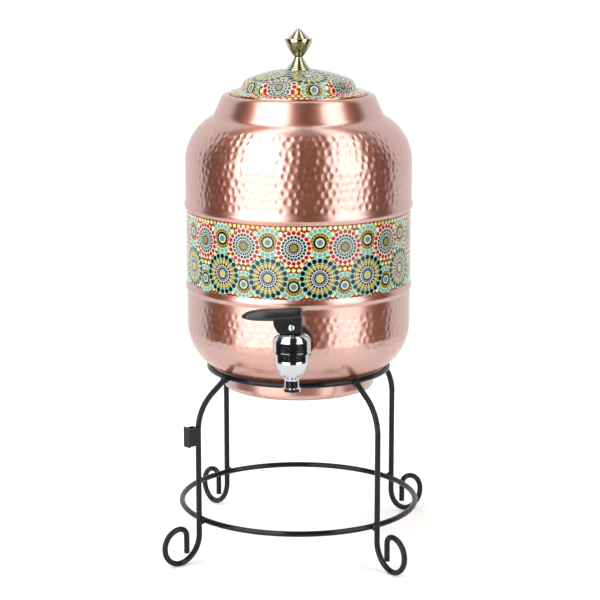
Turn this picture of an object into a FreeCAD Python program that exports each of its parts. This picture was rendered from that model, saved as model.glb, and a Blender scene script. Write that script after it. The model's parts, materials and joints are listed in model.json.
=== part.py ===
import FreeCAD, Part
import math
import os
import Sketcher

# Copper water dispenser: a hammered copper pot with a lidded mouth and a lever tap,
# standing in a round-rod wire stand. Millimetres. The origin is on the floor, on the
# pot's axis; +Z is up and the tap points along -Y.

# Driving dimensions: alias, value, what it is.
SIZES = [
    # Pot. Heights are above the pot's own flat base.
    ("BaseHeight", 146.8, "floor to the pot's flat base"),
    ("Wall", 1.0, "thickness of the copper sheet"),
    ("FootIn", 32.1, "how much smaller the foot's radius is than the drum's"),
    ("BaseCorner", 3.0, "rounding between base and foot"),
    ("DrumRadius", 100.1, "radius of the lower drum"),
    ("UpperStep", 0.9, "how much larger the drum's radius is above the band"),
    ("BowlRadius", 47.5, "radius of the arc from drum to foot"),
    ("BowlTop", 59.2, "height where the bowl's arc meets the drum"),
    ("BeadLow", 93.7, "height of the lower rolled bead"),
    ("BeadHigh", 166.2, "height of the upper rolled bead"),
    ("BeadWidth", 7.4, "width of a rolled bead"),
    ("BeadRise", 1.6, "how far a bead stands out"),
    ("ShoulderStart", 204.2, "height where the shoulder leaves the drum"),
    ("ShoulderRadius", 45.0, "radius of the shoulder's arc"),
    ("NeckSpread", 8.9, "how far the shoulder's end lies outside the neck's top"),
    ("NeckFillet", 4.8, "rounding between shoulder and neck"),
    ("NeckFilletRun", 2.15, "width of that rounding"),
    ("NeckFilletRise", 2.35, "height of that rounding"),
    ("NeckRise", 15.1, "height of the neck's cone"),
    ("NeckOut", 12.4, "how far the top of the neck's cone lies outside the mouth"),
    ("RimRound", 5.0, "rounding from neck to rim"),
    ("RimRun", 4.6, "width of that rounding"),
    ("RimRise", 2.75, "height of that rounding"),
    ("MouthRadius", 56.0, "clear radius of the mouth"),
    ("LipCorner", 1.5, "outer rounding of the turned-in lip"),
    ("LipDrop", 4.0, "depth of the lip's turned-down edge"),
    # Printed films
    ("Film", 0.3, "thickness of the printed film"),
    ("FilmInset", 0.3, "bare copper between a bead and the film"),
    # Lid. Heights are above the pot's rim.
    ("LidGap", 0.2, "gap that stands for the seat of the lid"),
    ("LidWall", 1.0, "thickness of the lid's sheet"),
    ("LidOverlap", 5.8, "how far the lid's brim reaches past the mouth"),
    ("BrimRise", 2.8, "how far the brim climbs to the dome"),
    ("BrimWidth", 11.2, "width of the lid's brim"),
    ("DomeRise", 17.6, "height of the dome"),
    ("DomeCorner", 9.8, "radius of the arc at the dome's foot"),
    ("CollarPlay", 1.0, "radial play of the collar in the mouth"),
    ("CollarWall", 1.0, "thickness of the collar"),
    ("CollarDepth", 12.0, "depth of the collar below the rim"),
    # Knob. Heights are above its seat on the dome.
    ("KnobFootRadius", 10.4, "radius of the knob's foot"),
    ("KnobFootRise", 1.2, "thickness of the foot's ring"),
    ("KnobStep", 0.9, "step from the foot's ring to the stalk"),
    ("KnobStepRise", 0.6, "height of that step"),
    ("KnobStalkArc", 30.0, "radius of the stalk's hollow curve"),
    ("KnobNeckRadius", 3.6, "radius of the knob's waist"),
    ("KnobNeckRise", 11.2, "height of the waist"),
    ("KnobCupArc", 40.0, "radius of the cup's swelling curve"),
    ("KnobCupRadius", 12.1, "radius of the cup's rim"),
    ("KnobCupRise", 25.4, "height of the cup's rim"),
    ("KnobRimBand", 2.0, "thickness of the cup's rim"),
    ("KnobDish", 0.5, "rise from the rim to the finial"),
    ("FinialRadius", 9.2, "radius of the pointed finial"),
    ("FinialRise", 7.6, "height of the finial"),
    ("FinialTip", 1.6, "radius of the finial's rounded tip"),
    ("KnobBoreDepth", 10.0, "depth of the knob's screw hole"),
    ("ScrewRadius", 2.0, "radius of the knob screw"),
    ("ScrewPlay", 0.1, "radial play of the knob screw"),
    ("ScrewReach", 8.0, "how far the screw enters the knob"),
    ("ScrewHeadRadius", 3.9, "radius of the screw's head"),
    ("ScrewHeadRise", 2.4, "height of the screw's head"),
    ("ScrewWasherRadius", 6.0, "radius of the screw's washer"),
    ("ScrewWasherRise", 0.8, "thickness of that washer"),
    # Tap. Heights are above the axis of its inlet.
    ("TapHeight", 59.8, "pot's base to the tap's inlet axis"),
    ("TapReach", 37.0, "drum's wall to the tap's stem axis"),
    ("ShankRadius", 8.0, "radius of the threaded shank"),
    ("ShankBore", 4.5, "radius of the inlet"),
    ("ShankEnd", 17.0, "shank beyond the drum's outer face"),
    ("HolePlay", 0.25, "radial play of the shank in the wall"),
    ("CollarRadius", 9.5, "radius of the shank's outer collar"),
    ("FlangeRadius", 14.0, "radius of the tap's flange"),
    ("FlangeRise", 2.5, "thickness of that flange"),
    ("WasherRadius", 16.9, "radius of the rubber washers"),
    ("WasherRise", 3.0, "thickness of the rubber washers"),
    ("InnerWasherRadius", 13.0, "radius of the inside washer"),
    ("NutAcross", 24.0, "nut across its flats"),
    ("NutRise", 6.0, "thickness of the nut"),
    ("NutPlay", 0.05, "radial play of nut and washers on the shank"),
    ("BulbRadius", 14.6, "radius of the tap's lower bulb"),
    ("BulbArc", 22.0, "radius of the bulb's curve"),
    ("BulbStraight", 4.6, "straight depth of the bulb below the axis"),
    ("BulbFoot", 20.6, "depth where the bulb ends"),
    ("SpoutNeckRadius", 7.5, "radius where the bulb ends"),
    ("SpoutRadius", 6.3, "radius of the spout"),
    ("SpoutFillet", 3.0, "rounding from bulb to spout"),
    ("SpoutFilletRise", 2.2, "height of that rounding"),
    ("SpoutLength", 32.2, "depth of the spout's mouth below the axis"),
    ("SpoutBead", 7.6, "radius of the bead at the spout's mouth"),
    ("SpoutBeadRise", 2.4, "height of that bead"),
    ("SpoutBeadSlope", 0.8, "height of the slope above that bead"),
    ("SpoutBore", 4.4, "radius of the outlet"),
    ("SeamRadius", 16.6, "radius of the ridge round the tap"),
    ("SeamRise", 2.8, "top of the ridge above the axis"),
    ("SeamBand", 1.4, "width of the ridge"),
    ("HeadRadius", 16.1, "radius of the tap above the ridge"),
    ("HeadRise", 11.4, "top of the tap's body above the axis"),
    ("ChamberRadius", 9.6, "radius of the valve chamber"),
    ("SeatDepth", 10.0, "depth of the valve's seat below the axis"),
    ("SpigotSeatRadius", 11.0, "radius of the seat that takes the bonnet's spigot"),
    ("SpigotSeatDepth", 4.8, "depth of that seat"),
    ("SealRise", 0.8, "thickness of the bonnet's seal"),
    ("SpigotPlay", 0.1, "radial play of the bonnet's spigot"),
    ("SpigotWall", 1.6, "thickness of the spigot"),
    ("BonnetRise", 6.2, "height of the bonnet above the body"),
    ("BonnetTopRadius", 10.5, "radius of the bonnet's flat top"),
    ("BonnetArc", 9.0, "rounding of the bonnet's edge"),
    ("BonnetPlate", 2.6, "thickness of the bonnet's top"),
    # Valve
    ("StemRadius", 2.5, "radius of the valve stem"),
    ("RunningPlay", 0.06, "radial play of what turns or slides"),
    ("StemDiscRadius", 3.4, "radius of the disc at the stem's foot"),
    ("StemDiscRise", 1.4, "thickness of that disc"),
    ("CupRadius", 8.0, "radius of the seat cup"),
    ("CupRise", 2.6, "thickness of the cup's disc"),
    ("CupHubRadius", 5.2, "radius of the cup's hub"),
    ("CupHubRise", 9.0, "height of the cup with its hub"),
    ("CupHubSkin", 2.0, "thickness of the hub above the stem's disc"),
    ("EndPlay", 0.3, "gap at the ends of sliding pieces"),
    ("SpringRadius", 4.2, "mean radius of the spring"),
    ("SpringWire", 0.45, "radius of the spring's wire"),
    ("SpringTurns", 5.0, "turns of the spring"),
    # Lever. Its lengths are from the stem's axis, its heights from the pin.
    ("CamGap", 0.3, "gap between the lever and the bonnet"),
    ("CamRadius", 5.6, "radius of the lever's heel, below the pin"),
    ("CamShift", 7.0, "distance of the heel's centre from the pin"),
    ("BlockRight", 8.6, "lever's block, away from the paddle"),
    ("BlockLeft", 15.5, "lever's block, at the paddle's side"),
    ("BlockWidth", 14.0, "width of the lever's block"),
    ("LeverTilt", 30.0, "degrees that the lever tilts"),
    ("StemTop", 3.4, "top of the stem above the pin"),
    ("SideGap", 0.3, "gap between the stem and the sides of its slot"),
    ("PinRadius", 1.5, "radius of the pin"),
    ("PinHeadRadius", 2.5, "radius of the pin's head"),
    ("PinHeadRise", 0.9, "height of the pin's head"),
    ("PaddleLength", 42.2, "stem's axis to the paddle's tip"),
    ("PaddleWidth", 15.6, "width of the paddle"),
    ("PaddleUnder", 5.0, "underside of the paddle above the pin"),
    ("PaddleTip", 9.2, "top of the paddle's tip above the pin"),
    ("PaddleMiddle", 13.2, "top of the paddle's middle above the pin"),
    ("PaddleMiddleReach", 20.0, "stem's axis to the paddle's middle"),
    ("PaddleBack", 16.9, "top of the lever's back above the pin"),
    ("PaddleTaper", 14.0, "length over which the paddle's tip narrows"),
    ("PaddleTopArc", 54.0, "radius of the paddle's crown"),
    ("PaddleSaddleArc", 130.0, "radius of the saddle behind it"),
    ("ThumbRadius", 26.0, "radius of the thumb's hollow"),
    ("ThumbDepth", 1.3, "depth of the thumb's hollow"),
    # Stand
    ("RodRadius", 2.5, "radius of the stand's rod"),
    ("SeatGap", 0.2, "gap between the pot and the ring it sits in"),
    ("RingIn", 19.4, "how far the top ring's centreline lies inside the drum's wall"),
    ("LegOut", 12.2, "how far the legs stand outside the drum's wall"),
    ("LegDrop", 24.1, "top ring down to the corner of the leg's bend"),
    ("LegBend", 40.0, "radius of the leg's upper bend"),
    ("WeldGap", 0.1, "gap between rods at a weld"),
    ("LowerRingHeight", 37.7, "height of the lower ring"),
    ("FootBend", 23.5, "radius of the leg's lower bend"),
    ("ScrollRadius", 15.8, "radius of the foot's scroll"),
    ("ScrollShift", 2.3, "scroll's centre inwards of the bend's"),
    ("CurlRadius", 7.5, "radius of the scroll's inner curl"),
    ("CurlTail", 15.8, "length of the curl's straight end"),
    ("FootFlat", 0.25, "depth ground off under each foot"),
    ("StandAngle", 4.6, "degrees that the stand is turned from square"),
    ("WeldRadius", 3.9, "radius of a weld"),
    # Socket for a tumbler's holder
    ("SocketBase", 108.5, "floor to the socket's lower end"),
    ("SocketRise", 16.0, "height of the socket"),
    ("SocketReach", 10.0, "socket's length, away from the leg"),
    ("SocketWidth", 8.8, "socket's width"),
    ("SocketWall", 1.2, "thickness of the socket's sheet"),
    ("SocketLip", 1.0, "how far the outer wall stands past the others"),
    ("BeadRadius", 1.1, "radius of the socket's weld beads"),
    ("BeadLength", 9.0, "length of the socket's weld beads"),
    ("BeadSet", 0.66, "how far those beads' axes lie behind the socket"),
    ("BeadSpread", 2.0, "distance of those axes from the socket's middle"),
]

doc = FreeCAD.newDocument("dispenser")
sheet = doc.addObject("Spreadsheet::Sheet", "Sizes")
for row, (alias, value, meaning) in enumerate(SIZES, start=1):
    sheet.set(f"A{row}", meaning)
    sheet.set(f"B{row}", str(value))
    sheet.setAlias(f"B{row}", alias)
doc.recompute()


class Size:
    """A length that knows its value and the expression that ties it to the sheet."""

    def __init__(self, value, text):
        self.value = value
        self.text = text

    def joined(self, sign, other, value):
        return Size(value, f"({self.text} {sign} {other.text})")

    def __add__(self, other):
        other = sized(other)
        return self.joined("+", other, self.value + other.value)

    def __sub__(self, other):
        other = sized(other)
        return self.joined("-", other, self.value - other.value)

    def __mul__(self, other):
        other = sized(other)
        return self.joined("*", other, self.value * other.value)

    def __truediv__(self, other):
        other = sized(other)
        return self.joined("/", other, self.value / other.value)

    def __neg__(self):
        return Size(-self.value, f"(0 - {self.text})")


def sized(number):
    """A plain number as a Size."""
    return number if isinstance(number, Size) else Size(float(number), repr(float(number)))


def root(size):
    """The square root of a Size."""
    return Size(math.sqrt(size.value), f"sqrt({size.text})")


def side(long_side, short_side):
    """The other side of a right-angled triangle."""
    return root(long_side * long_side - short_side * short_side)


def cosine(angle):
    """The cosine of an angle in degrees."""
    return Size(math.cos(math.radians(angle.value)), f"cos({angle.text})")


def sine(angle):
    """The sine of an angle in degrees."""
    return Size(math.sin(math.radians(angle.value)), f"sin({angle.text})")


S = {alias: Size(float(sheet.get(alias)), f"Sizes.{alias}") for alias, value, meaning in SIZES}
ZERO = sized(0)


def bind(thing, **sizes):
    """Ties properties of an object to the sheet."""
    for name, size in sizes.items():
        thing.setExpression(name, sized(size).text)


def place(thing, x=ZERO, y=ZERO, z=ZERO, turn=None, rotation=None):
    """Ties an object's position to the sheet, and its turn about Z if one is given."""
    if rotation is not None:
        thing.Placement = FreeCAD.Placement(FreeCAD.Vector(), rotation)
    for axis, size in (("x", x), ("y", y), ("z", z)):
        thing.setExpression(f"Placement.Base.{axis}", sized(size).text)
    if turn is not None:
        thing.Placement = FreeCAD.Placement(
            FreeCAD.Vector(), FreeCAD.Rotation(FreeCAD.Vector(0, 0, 1), turn.value)
        )
        thing.setExpression("Placement.Rotation.Angle", turn.text)


def body(name, **where):
    """A new body with its place."""
    made = doc.addObject("PartDesign::Body", name)
    made.Label = name
    place(made, **where)
    return made


def new_sketch(owner, name, plane, offset=None):
    """An empty sketch on one of its own body's origin planes."""
    made = owner.newObject("Sketcher::SketchObject", name)
    support = next(f for f in owner.Origin.OriginFeatures if f.Role == plane)
    made.AttachmentSupport = [(support, "")]
    made.MapMode = "FlatFace"
    if offset is not None:
        made.setExpression("AttachmentOffset.Base.z", offset.text)
    return made


def arc_between(start, end, radius, left):
    """The short arc from start to end, turning left or right."""
    (x0, y0), (x1, y1) = start, end
    half = math.hypot(x1 - x0, y1 - y0) / 2
    away = math.sqrt(max(radius * radius - half * half, 0.0)) / (2 * half)
    way = 1 if left else -1
    centre_x = (x0 + x1) / 2 - way * (y1 - y0) * away
    centre_y = (y0 + y1) / 2 + way * (x1 - x0) * away
    first, last = (start, end) if left else (end, start)
    angles = [math.atan2(y - centre_y, x - centre_x) for x, y in (first, last)]
    circle = Part.Circle(FreeCAD.Vector(centre_x, centre_y), FreeCAD.Vector(0, 0, 1), radius)
    return Part.ArcOfCircle(circle, angles[0], angles[1])


def draw(made, path, closed=True):
    """Draws a path of lines and arcs whose every corner and radius is tied to the sheet.

    A corner is (x, y), reached by a line, or (x, y, radius, "left" or "right"), reached
    by an arc.
    """
    count = len(path)
    spans = range(count) if closed else range(1, count)
    ends = {}
    rules = []
    for index in spans:
        before, corner = path[index - 1], path[index]
        start = (before[0].value, before[1].value)
        end = (corner[0].value, corner[1].value)
        left = len(corner) == 2 or corner[3] == "left"
        if len(corner) == 2:
            curve = Part.LineSegment(FreeCAD.Vector(*start), FreeCAD.Vector(*end))
        else:
            curve = arc_between(start, end, corner[2].value, left)
        edge = made.addGeometry(curve, False)
        if len(corner) > 2:
            rules.append((("Radius", edge), corner[2]))
        ends.setdefault((index - 1) % count, []).append((edge, 1 if left else 2))
        ends.setdefault(index, []).append((edge, 2 if left else 1))
    for index, meeting in ends.items():
        if len(meeting) == 2:
            made.addConstraint(Sketcher.Constraint("Coincident", *meeting[0], *meeting[1]))
        for axis, kind, size in ((-2, "DistanceX", path[index][0]), (-1, "DistanceY", path[index][1])):
            if size is ZERO:
                made.addConstraint(Sketcher.Constraint("PointOnObject", *meeting[0], axis))
            else:
                rules.append(((kind, -1, 1, *meeting[0]), size))
    for rule, size in rules:
        number = made.addConstraint(Sketcher.Constraint(*rule, size.value))
        made.setExpression(f"Constraints[{number}]", size.text)
    return made


def draw_circle(made, x, y, radius):
    """A circle whose centre and radius are tied to the sheet."""
    centre = FreeCAD.Vector(x.value, y.value)
    edge = made.addGeometry(Part.Circle(centre, FreeCAD.Vector(0, 0, 1), radius.value), False)
    rules = [(("Radius", edge), radius)]
    for axis, kind, size in ((-2, "DistanceX", x), (-1, "DistanceY", y)):
        if size is ZERO:
            made.addConstraint(Sketcher.Constraint("PointOnObject", edge, 3, axis))
        else:
            rules.append(((kind, -1, 1, edge, 3), size))
    for rule, size in rules:
        number = made.addConstraint(Sketcher.Constraint(*rule, size.value))
        made.setExpression(f"Constraints[{number}]", size.text)
    return made


def feature(owner, kind, name, profile, **settings):
    """A feature of a body, made from one sketch."""
    made = owner.newObject(f"PartDesign::{kind}", name)
    made.Profile = profile
    profile.Visibility = False
    for setting, value in settings.items():
        if isinstance(value, Size):
            bind(made, **{setting: value})
        else:
            setattr(made, setting, value)
    return made


def turned(owner, name, path, kind="Revolution", plane="XZ_Plane", axis="V_Axis"):
    """A solid, or with Groove a cut, turned from a closed profile."""
    profile = draw(new_sketch(owner, f"{name}_profile", plane), path)
    return feature(owner, kind, name, profile, ReferenceAxis=(profile, [axis]), Angle=360.0)


def backwards(path):
    """The same path, drawn the other way."""
    turned_path = []
    for index in range(len(path) - 1, -1, -1):
        following = path[index + 1] if index + 1 < len(path) else ()
        if len(following) > 2:
            way = "right" if following[3] == "left" else "left"
            turned_path.append((*path[index][:2], following[2], way))
        else:
            turned_path.append(path[index][:2])
    return turned_path


def primitive(kind, name, rotation=None, at=(ZERO, ZERO, ZERO), **sizes):
    """A Part primitive with its place and sizes tied to the sheet."""
    made = doc.addObject(f"Part::{kind}", name)
    place(made, *at, rotation=rotation)
    bind(made, **sizes)
    return made


def cut(name, base, tool):
    """What is left of one shape when another is taken away."""
    made = doc.addObject("Part::Cut", name)
    made.Base = base
    made.Tool = tool
    made.Label = name
    return made


def group(name, kind, members):
    """A fusion, common or compound of several shapes."""
    made = doc.addObject(f"Part::{kind}", name)
    if kind == "Compound":
        made.Links = members
    else:
        made.Shapes = members
    made.Label = name
    return made


ALONG_Y = FreeCAD.Rotation(FreeCAD.Vector(1, 0, 0), -90)
OVERCUT = sized(1)

# Pot
FOOT_RADIUS = S["DrumRadius"] - S["FootIn"]
UPPER_RADIUS = S["DrumRadius"] + S["UpperStep"]
NECK_TOP_RADIUS = S["MouthRadius"] + S["NeckOut"]
SHOULDER_END_RADIUS = NECK_TOP_RADIUS + S["NeckSpread"]
NECK_FOOT_RADIUS = SHOULDER_END_RADIUS - S["NeckFilletRun"]
BOWL_CENTRE = S["DrumRadius"] - S["BowlRadius"]
FOOT_TOP = S["BowlTop"] - side(S["BowlRadius"], FOOT_RADIUS - BOWL_CENTRE)
BEAD_ARC = (S["BeadWidth"] * S["BeadWidth"] / 4 + S["BeadRise"] * S["BeadRise"]) / (S["BeadRise"] * 2)
SHOULDER_CENTRE = UPPER_RADIUS - S["ShoulderRadius"]
SHOULDER_RISE = side(S["ShoulderRadius"], SHOULDER_END_RADIUS - SHOULDER_CENTRE)
SHOULDER_END = S["ShoulderStart"] + SHOULDER_RISE
NECK_FOOT = SHOULDER_END + S["NeckFilletRise"]
NECK_TOP = NECK_FOOT + S["NeckRise"]
POT_HEIGHT = NECK_TOP + S["RimRise"]
RIM_FLAT_RADIUS = NECK_TOP_RADIUS - S["RimRun"]
SEAM_HEIGHT = (S["BeadLow"] + S["BeadHigh"]) / 2


def bead(centre, base_radius, end_radius, skin):
    """The outline of a rolled bead, or of its hollow where skin is the sheet's thickness."""
    arc = BEAD_ARC - skin
    half = side(arc, BEAD_ARC - S["BeadRise"] - skin)
    return [
        (base_radius - skin, centre - half),
        (end_radius - skin, centre + half, arc, "left"),
    ]


def lower_wall(skin):
    """The wall's outline from the base to the seam under the printed band, set in by skin."""
    return [
        (FOOT_RADIUS - S["BaseCorner"], skin),
        (FOOT_RADIUS - skin, S["BaseCorner"], S["BaseCorner"] - skin, "left"),
        (FOOT_RADIUS - skin, FOOT_TOP),
        (S["DrumRadius"] - skin, S["BowlTop"], S["BowlRadius"] - skin, "left"),
        *bead(S["BeadLow"], S["DrumRadius"], S["DrumRadius"], skin),
        (S["DrumRadius"] - skin, SEAM_HEIGHT),
    ]


def upper_wall(skin):
    """The wall's outline from that seam to the rim, set in by skin."""
    neck_slope_run = NECK_TOP_RADIUS - NECK_FOOT_RADIUS
    neck_slope = root(neck_slope_run * neck_slope_run + S["NeckRise"] * S["NeckRise"])
    neck_in = skin * S["NeckRise"] / neck_slope
    neck_down = -(skin * neck_slope_run / neck_slope)
    shoulder_share = skin / S["ShoulderRadius"]
    return [
        (S["DrumRadius"] - skin, SEAM_HEIGHT),
        *bead(S["BeadHigh"], S["DrumRadius"], UPPER_RADIUS, skin),
        (UPPER_RADIUS - skin, S["ShoulderStart"]),
        (
            SHOULDER_END_RADIUS - (SHOULDER_END_RADIUS - SHOULDER_CENTRE) * shoulder_share,
            SHOULDER_END - SHOULDER_RISE * shoulder_share,
            S["ShoulderRadius"] - skin,
            "left",
        ),
        (NECK_FOOT_RADIUS - neck_in, NECK_FOOT - neck_down, S["NeckFillet"] + skin, "right"),
        (NECK_TOP_RADIUS - neck_in, NECK_TOP - neck_down),
        (RIM_FLAT_RADIUS, POT_HEIGHT - skin, S["RimRound"] - skin, "left"),
    ]


LIP = [
    (S["MouthRadius"] + S["LipCorner"], POT_HEIGHT),
    (S["MouthRadius"], POT_HEIGHT - S["LipCorner"], S["LipCorner"], "left"),
    (S["MouthRadius"], POT_HEIGHT - S["LipDrop"]),
    (S["MouthRadius"] + S["Wall"], POT_HEIGHT - S["LipDrop"]),
    (S["MouthRadius"] + S["Wall"], POT_HEIGHT - S["LipCorner"]),
    (S["MouthRadius"] + S["LipCorner"], POT_HEIGHT - S["Wall"], S["LipCorner"] - S["Wall"], "right"),
]
TAP_Z = S["BaseHeight"] + S["TapHeight"]
TAP_Y = -(S["DrumRadius"] + S["TapReach"])


def make_pot():
    """The two spun copper shells, brazed end to end, and the hole for the tap."""
    lower = body("lower_shell", z=S["BaseHeight"])
    inside = backwards([(ZERO, S["Wall"]), *lower_wall(S["Wall"])])
    turned(lower, "lower", [(ZERO, ZERO), *lower_wall(ZERO), *inside])
    doc.recompute()
    hole_sketch = new_sketch(lower, "tap_hole_sketch", "XZ_Plane")
    draw_circle(hole_sketch, ZERO, S["TapHeight"], S["ShankRadius"] + S["HolePlay"])
    past_wall = S["DrumRadius"] + OVERCUT
    feature(lower, "Pocket", "tap_hole", hole_sketch, Length=past_wall, Reversed=True)
    upper = body("upper_shell", z=S["BaseHeight"])
    turned(upper, "upper", [*upper_wall(ZERO), *LIP, *backwards(upper_wall(S["Wall"]))])
    return [lower, upper]


def make_band():
    """The printed film round the drum, between the two beads."""
    low = S["BeadLow"] + S["BeadWidth"] / 2 + S["FilmInset"]
    high = S["BeadHigh"] - S["BeadWidth"] / 2 - S["FilmInset"]
    inner = S["DrumRadius"]
    outer = inner + S["Film"]
    film = body("printed_band", z=S["BaseHeight"])
    turned(film, "band", [(inner, low), (outer, low), (outer, high), (inner, high)])
    return film


def make_form(name, path):
    """A full solid of one face of the pot's wall, to shape what seats on it."""
    form = body(name, z=S["BaseHeight"])
    turned(form, f"{name}_turned", path)
    return form


# Lid. Its frame lies on the pot's rim.
LID_Z = S["BaseHeight"] + POT_HEIGHT + S["LidGap"]
LID_RADIUS = S["MouthRadius"] + S["LidOverlap"]
DOME_RADIUS = LID_RADIUS - S["BrimWidth"]
DOME_BASE = S["LidWall"] + S["BrimRise"]
DOME_CROWN = (
    DOME_RADIUS * DOME_RADIUS + S["DomeRise"] * S["DomeRise"]
    - DOME_RADIUS * S["DomeCorner"] * 2
) / ((S["DomeRise"] - S["DomeCorner"]) * 2)
KNOB_SEAT_RADIUS = S["KnobFootRadius"] + S["FilmInset"]


def crown_height(radius, skin):
    """Height of the dome's crown at a radius, offset outwards by skin."""
    return DOME_BASE + S["DomeRise"] - DOME_CROWN + side(DOME_CROWN + skin, radius)


def dome(skin, end_radius):
    """The dome's outline from its foot to end_radius, offset outwards by skin."""
    share = (DOME_CROWN + skin) / (DOME_CROWN - S["DomeCorner"])
    return [
        (DOME_RADIUS + skin, DOME_BASE),
        (
            (DOME_RADIUS - S["DomeCorner"]) * share,
            DOME_BASE + S["DomeRise"] - DOME_CROWN + (DOME_CROWN - S["DomeRise"]) * share,
            S["DomeCorner"] + skin,
            "left",
        ),
        (end_radius, crown_height(end_radius, skin), DOME_CROWN + skin, "left"),
    ]


DOME_TOP = crown_height(KNOB_SEAT_RADIUS, ZERO)
DOME_UNDER_TOP = crown_height(KNOB_SEAT_RADIUS, -S["LidWall"])
DOME_UNDER_FOOT = DOME_BASE - S["LidWall"]
BRIM_SLOPE = S["BrimRise"] / (LID_RADIUS - DOME_RADIUS)


def make_lid():
    """The lid's copper sheet, its printed film, and the collar that centres it."""
    hole = S["ScrewRadius"] + S["ScrewPlay"]
    dome_in = dome(-S["LidWall"], KNOB_SEAT_RADIUS)
    shell = body("lid_shell", z=LID_Z)
    turned(shell, "lid", [
        (LID_RADIUS, ZERO),
        (LID_RADIUS, S["LidWall"]),
        *dome(ZERO, KNOB_SEAT_RADIUS),
        (hole, DOME_TOP),
        (hole, DOME_UNDER_TOP),
        *backwards(dome_in),
        (DOME_RADIUS - S["LidWall"], DOME_UNDER_FOOT),
    ])
    film_edge = LID_RADIUS - S["FilmInset"]
    film_edge_height = S["LidWall"] + BRIM_SLOPE * S["FilmInset"]
    film = body("lid_print", z=LID_Z)
    turned(film, "lid_film", [
        (film_edge, film_edge_height),
        (film_edge, film_edge_height + S["Film"]),
        (DOME_RADIUS + S["Film"], DOME_BASE + S["Film"]),
        *dome(S["Film"], KNOB_SEAT_RADIUS)[1:],
        *backwards(dome(ZERO, KNOB_SEAT_RADIUS)),
    ])
    outer = S["MouthRadius"] - S["CollarPlay"]
    inner = outer - S["CollarWall"]
    under_slope = DOME_UNDER_FOOT / (LID_RADIUS - DOME_RADIUS + S["LidWall"])
    collar = body("lid_collar", z=LID_Z)
    turned(collar, "collar", [
        (inner, -S["CollarDepth"]),
        (outer, -S["CollarDepth"]),
        (outer, under_slope * (LID_RADIUS - outer)),
        (inner, under_slope * (LID_RADIUS - inner)),
    ])
    return [shell, film, collar]


def make_knob():
    """The turned knob, with the screw and washer that hold it from below."""
    knob = body("lid_knob", z=LID_Z + DOME_TOP)
    finial_base = S["KnobCupRise"] + S["KnobRimBand"] + S["KnobDish"]
    cone_run = S["FinialRadius"] - S["FinialTip"]
    cone = root(cone_run * cone_run + S["FinialRise"] * S["FinialRise"])
    bore = S["ScrewRadius"] + S["ScrewPlay"]
    turned(knob, "knob", [
        (bore, ZERO),
        (S["KnobFootRadius"], ZERO),
        (S["KnobFootRadius"], S["KnobFootRise"]),
        (S["KnobFootRadius"] - S["KnobStep"], S["KnobFootRise"] + S["KnobStepRise"]),
        (S["KnobNeckRadius"], S["KnobNeckRise"], S["KnobStalkArc"], "right"),
        (S["KnobCupRadius"], S["KnobCupRise"], S["KnobCupArc"], "left"),
        (S["KnobCupRadius"], S["KnobCupRise"] + S["KnobRimBand"]),
        (S["FinialRadius"], finial_base),
        (S["FinialTip"], finial_base + S["FinialRise"]),
        (
            ZERO,
            finial_base + S["FinialRise"] + S["FinialTip"] * (cone - cone_run) / S["FinialRise"],
            S["FinialTip"] * cone / S["FinialRise"],
            "left",
        ),
        (ZERO, S["KnobBoreDepth"]),
        (bore, S["KnobBoreDepth"]),
    ])
    washer = body("knob_washer", z=LID_Z + DOME_UNDER_TOP)
    turned(washer, "screw_washer", [
        (bore, -S["ScrewWasherRise"]),
        (S["ScrewWasherRadius"], -S["ScrewWasherRise"]),
        (S["ScrewWasherRadius"], ZERO),
        (bore, ZERO),
    ])
    head_top = -S["ScrewWasherRise"]
    screw = body("knob_screw", z=LID_Z + DOME_UNDER_TOP)
    turned(screw, "screw", [
        (ZERO, head_top - S["ScrewHeadRise"]),
        (S["ScrewHeadRadius"] - S["ScrewHeadRise"] / 2, head_top - S["ScrewHeadRise"]),
        (S["ScrewHeadRadius"], head_top - S["ScrewHeadRise"] / 2, S["ScrewHeadRise"] / 2, "left"),
        (S["ScrewHeadRadius"], head_top),
        (S["ScrewRadius"], head_top),
        (S["ScrewRadius"], S["LidWall"] + S["ScrewReach"]),
        (ZERO, S["LidWall"] + S["ScrewReach"]),
    ])
    return [knob, washer, screw]


# Tap. Its frame lies where the stem's axis meets the inlet's.
FLANGE_FACE = S["TapReach"] - S["WasherRise"]
SPIGOT_LEDGE = S["HeadRise"] - S["SpigotSeatDepth"]
SPIGOT_OUTER = S["SpigotSeatRadius"] - S["SpigotPlay"]
SPIGOT_INNER = SPIGOT_OUTER - S["SpigotWall"]
BONNET_TOP = S["HeadRise"] + S["BonnetRise"]
BONNET_UNDER = BONNET_TOP - S["BonnetPlate"]
STEM_BORE = S["StemRadius"] + S["RunningPlay"]
PIN_Z = BONNET_TOP + S["CamGap"] + S["CamRadius"]
HUB_TOP = S["CupHubRise"] - S["SeatDepth"]
DISC_TOP = HUB_TOP - S["CupHubSkin"] - S["EndPlay"]
DISC_BOTTOM = DISC_TOP - S["StemDiscRise"]


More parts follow.
